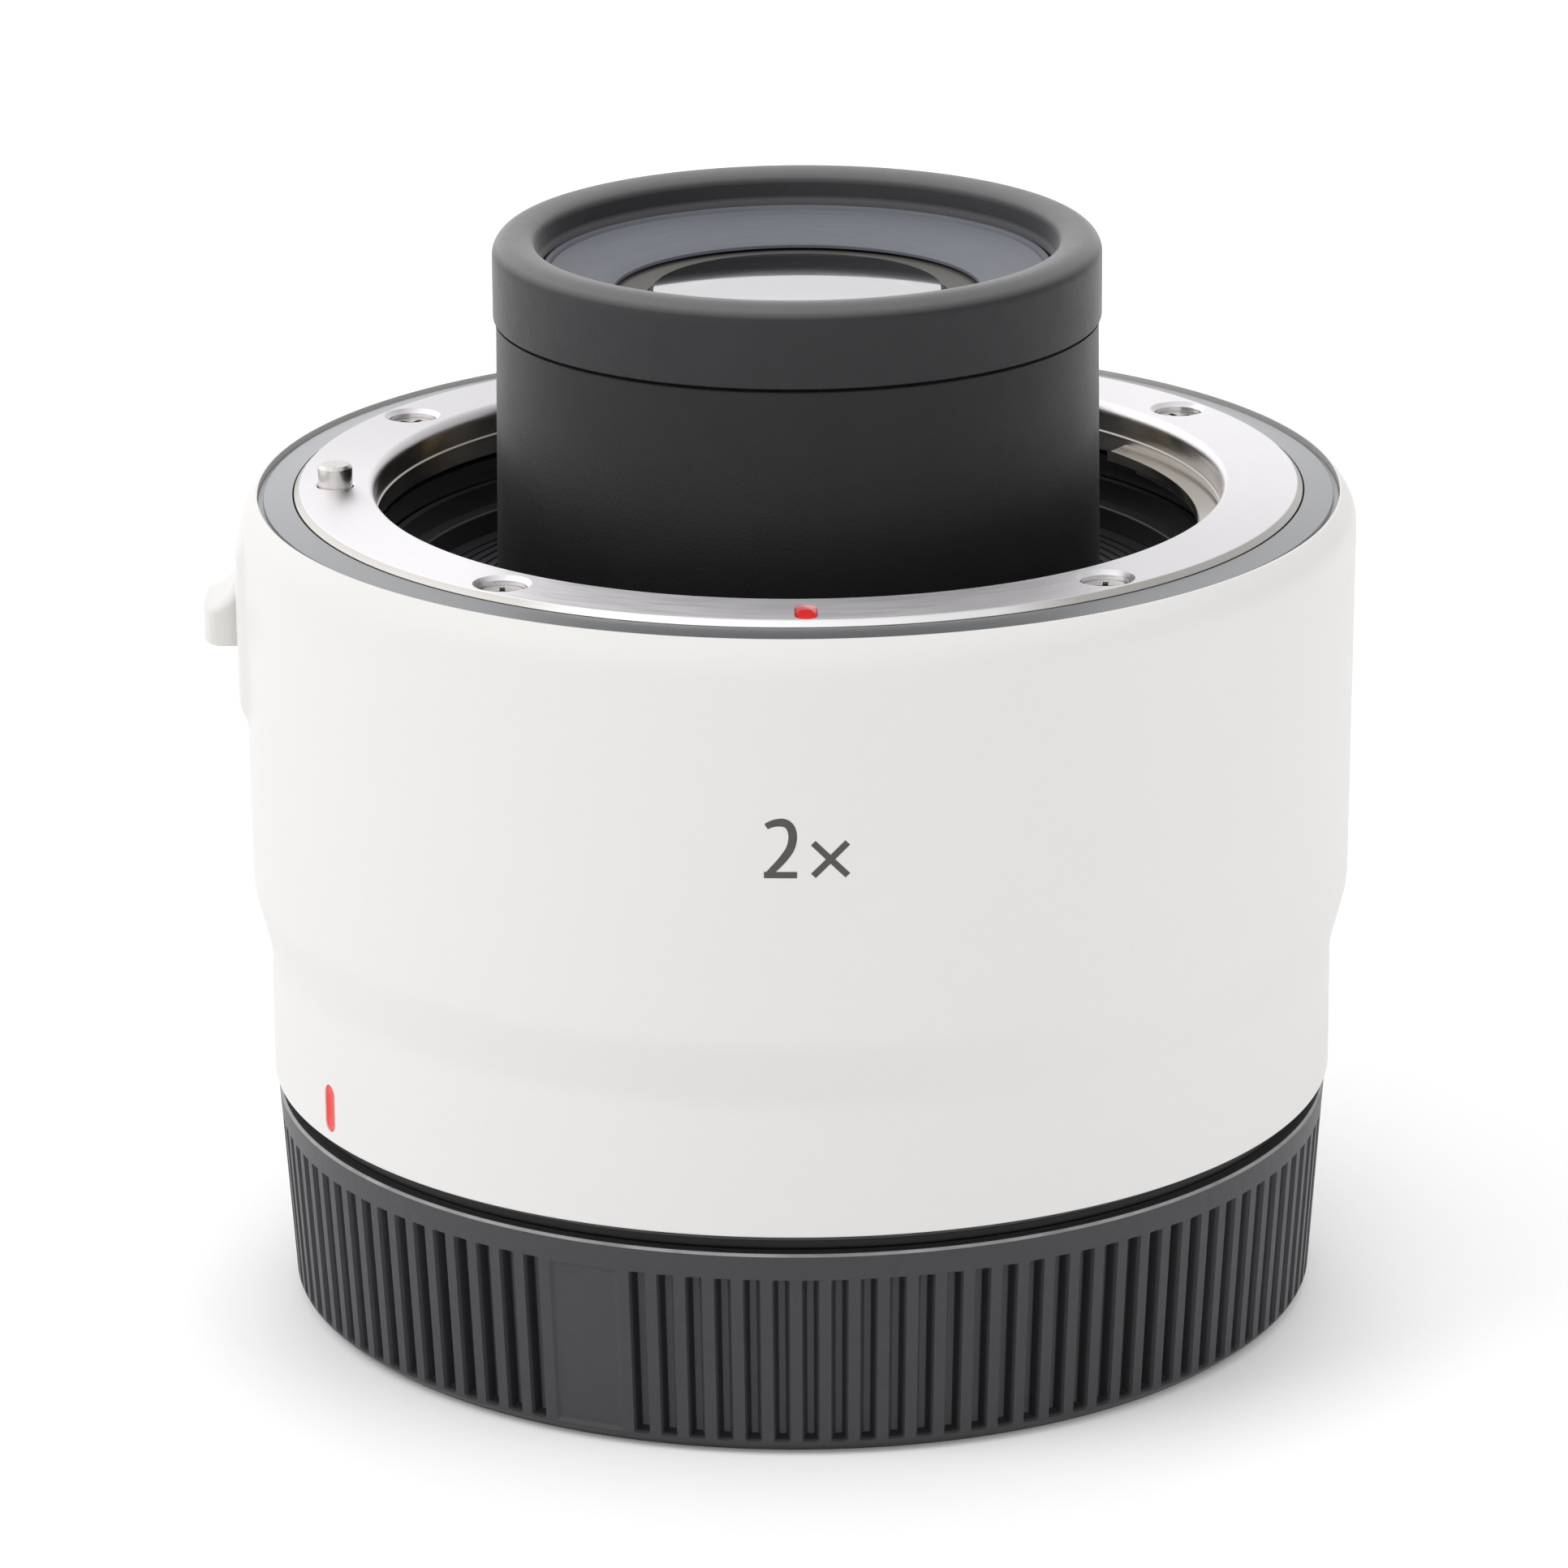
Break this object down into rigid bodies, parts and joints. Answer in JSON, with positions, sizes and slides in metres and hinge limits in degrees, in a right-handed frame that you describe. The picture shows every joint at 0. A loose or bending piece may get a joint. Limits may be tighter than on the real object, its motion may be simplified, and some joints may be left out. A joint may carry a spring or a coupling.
{
  "type": "camera teleconverter",
  "caption": "White-barrelled 2x teleconverter with a black snout lens, steel bayonet, lock pin, side release knob and ribbed rear dust cap.",
  "frame": {"origin": "centre of the rear cap's flat foot, on the optical axis", "axes": "+Z along the optical axis from the camera side to the lens side, front index mark towards -Y, release knob towards -X"},
  "size_m": [0.0737, 0.0712, 0.0697],
  "materials": {
    "white_paint": "fine satin paint on metal",
    "red_paint": "gloss paint fill",
    "black_anodised": "matte black, fine turning marks",
    "barrel_black": "matte black",
    "rim_rubber": "matte",
    "seal_rubber": "semi-gloss",
    "trim_black": "satin black",
    "mount_steel": "fine circular brushing",
    "screw_steel": "plain machined",
    "spring_steel": "plain",
    "contact_plastic": "matte",
    "contact_gold": "gold plated",
    "board_green": "solder resist",
    "chip_black": "matte",
    "ribbon_amber": "polyimide film",
    "cap_plastic": "fine moulded texture",
    "coated_glass": "coated, polished"
  },
  "bodies": {
    "converter": {"barrel_screws": "screw_steel", "board_screws": "screw_steel", "body_shell": "white_paint", "circuit_board": "board_green", "circuit_chips": "chip_black", "contact_springs": "spring_steel", "front_cell": "black_anodised", "front_cone_ring": "black_anodised", "front_contact_block": "contact_plastic", "front_index_mark": "red_paint", "front_lens_retainer": "black_anodised", "front_mount_ring": "mount_steel", "front_mount_screws": "screw_steel", "front_ribbon_cable": "ribbon_amber", "front_trim_ring": "trim_black", "inner_barrel": "barrel_black", "lens_1": "coated_glass", "lens_2": "coated_glass", "lens_3": "coated_glass", "lens_4": "coated_glass", "lens_5": "coated_glass", "lens_6": "coated_glass", "lens_7": "coated_glass", "lens_8": "coated_glass", "lens_9": "coated_glass", "lens_spacer": "black_anodised", "main_frame": "black_anodised", "middle_cell": "black_anodised", "middle_lens_retainer": "black_anodised", "mount_leaf_springs": "spring_steel", "rear_baffle": "black_anodised", "rear_block_screws": "screw_steel", "rear_cell": "black_anodised", "rear_contact_block": "contact_plastic", "rear_contact_pads": "contact_gold", "rear_group_retainer": "black_anodised", "rear_index_mark": "red_paint", "rear_lens_retainer": "black_anodised", "rear_mount_ring": "mount_steel", "rear_mount_screws": "screw_steel", "rear_ribbon_cable": "ribbon_amber", "rear_seal": "seal_rubber", "rear_shim": "spring_steel", "release_spring": "spring_steel", "snout_rim_ring": "rim_rubber", "well_floor_ring": "black_anodised", "well_wall_ring": "black_anodised"},
    "rear_cap": {"rear_cap": "cap_plastic"},
    "lens_release": {"lock_pin": "screw_steel", "release_knob": "white_paint", "release_slide": "spring_steel"},
    "contact_pin_set": {"contact_pins": "contact_gold"}
  },
  "joints": [
    {"name": "cap_twist", "type": "hinge", "parent": "converter", "child": "rear_cap", "pos_m": [0, 0, 0.01], "axis": [0, 0, 1], "range_deg": [-36.6, 0]},
    {"name": "release_travel", "type": "slide", "parent": "converter", "child": "lens_release", "axis": [0, 0, -1], "range_m": [0, 0.0015], "stiffness_N_per_m": 300, "springref_m": -0.004, "deforming": ["release_spring"]},
    {"name": "contact_press", "type": "slide", "parent": "converter", "child": "contact_pin_set", "axis": [0, 0, -1], "range_m": [0, 0.0008], "stiffness_N_per_m": 600, "springref_m": -0.002, "deforming": ["contact_springs"]}
  ]
}
